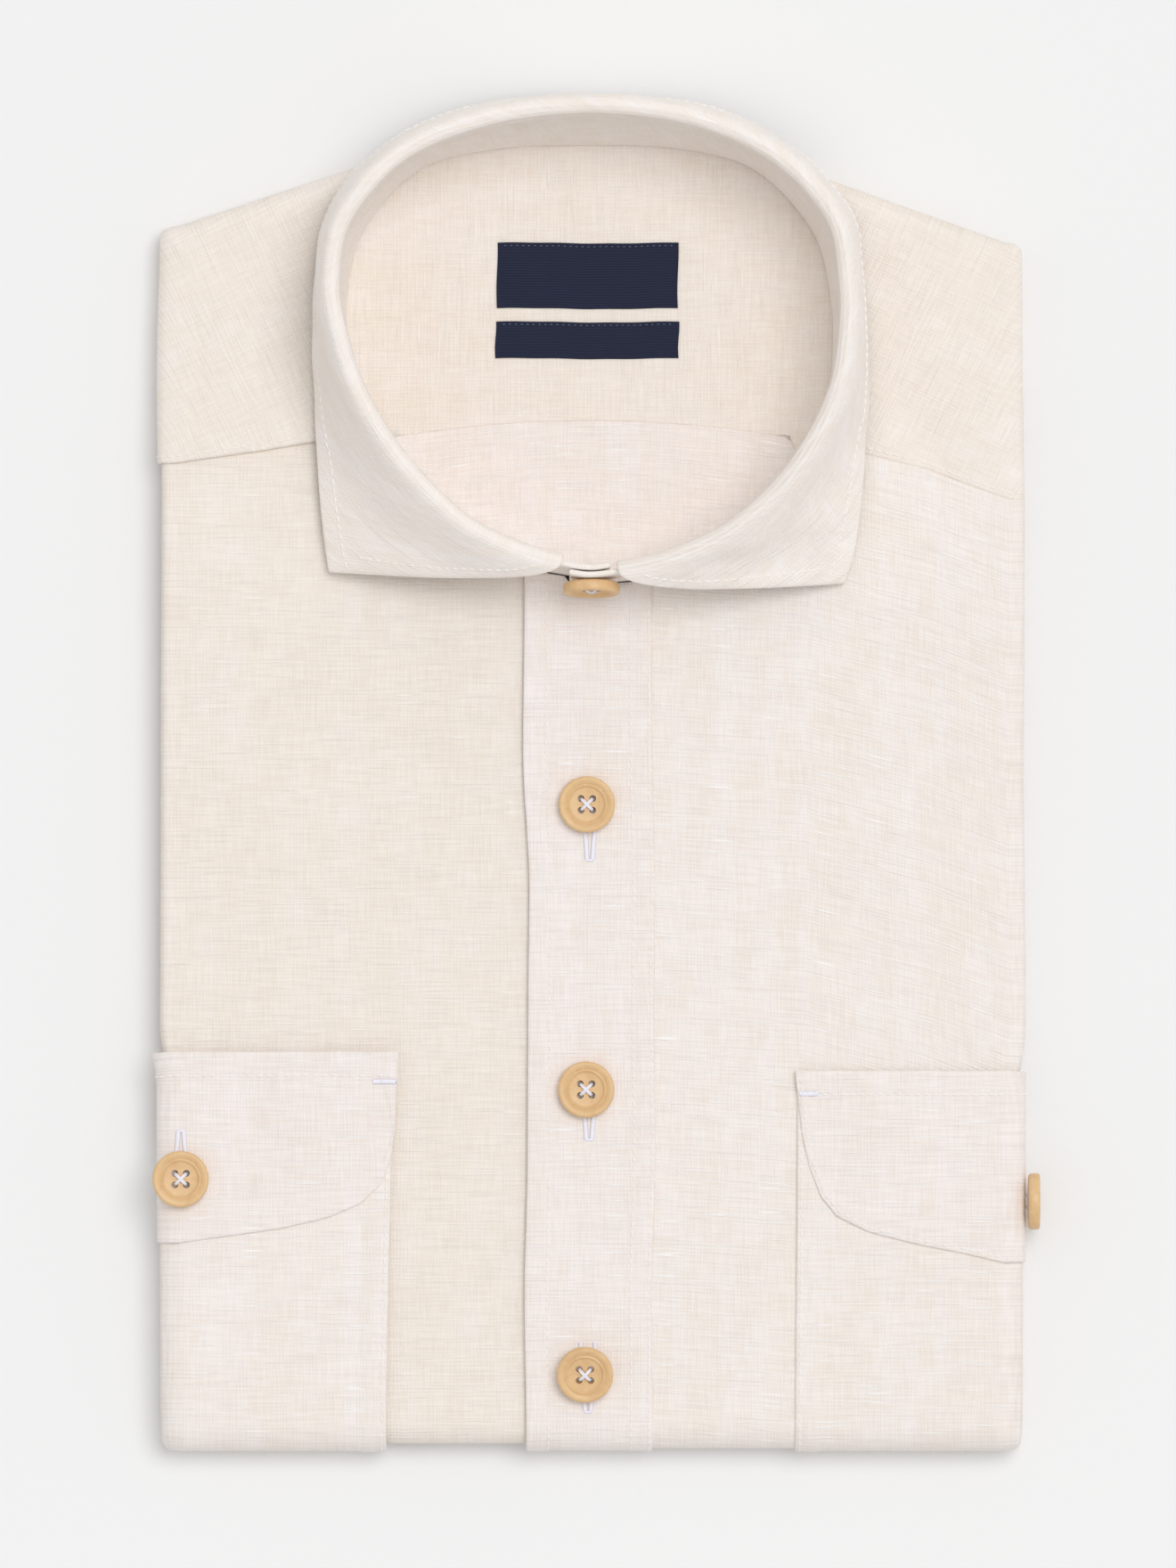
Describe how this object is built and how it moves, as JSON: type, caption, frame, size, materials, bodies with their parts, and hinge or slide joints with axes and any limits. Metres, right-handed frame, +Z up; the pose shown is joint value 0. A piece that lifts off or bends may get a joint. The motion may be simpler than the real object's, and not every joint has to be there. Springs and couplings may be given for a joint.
{
  "type": "folded safari shirt",
  "caption": "Neatly folded linen safari shirt with a standing buttoned collar, wide placket and flapped pockets round the side folds.",
  "frame": {"origin": "On the surface that the shirt lies on, under the placket, halfway along the folded length.", "axes": "+Z up from the surface, +Y from the bottom fold towards the collar, +X towards the wearer's left side fold."},
  "size_m": [0.2417, 0.3667, 0.0474],
  "materials": {
    "linen": "plain-woven washed cream linen, matt, with slubs",
    "label": "navy woven satin label, bare",
    "button": "tan corozo nut, turned and lightly polished",
    "thread": "white polyester sewing thread"
  },
  "bodies": {
    "root": {"folded_layers": "linen", "front_right": "linen", "front_left": "linen", "yoke": "linen", "placket": "linen", "pocket_right": "linen", "flap_right": "linen", "pocket_left": "linen", "flap_left": "linen", "yoke_lining": "linen", "back_inside": "linen", "label_main": "label", "label_size": "label", "collar_stand": "linen", "collar_fall": "linen", "button_front_1": "button", "button_front_2": "button", "button_front_3": "button", "button_pocket_right": "button", "button_pocket_left": "button", "button_collar": "button"}
  },
  "joints": []
}
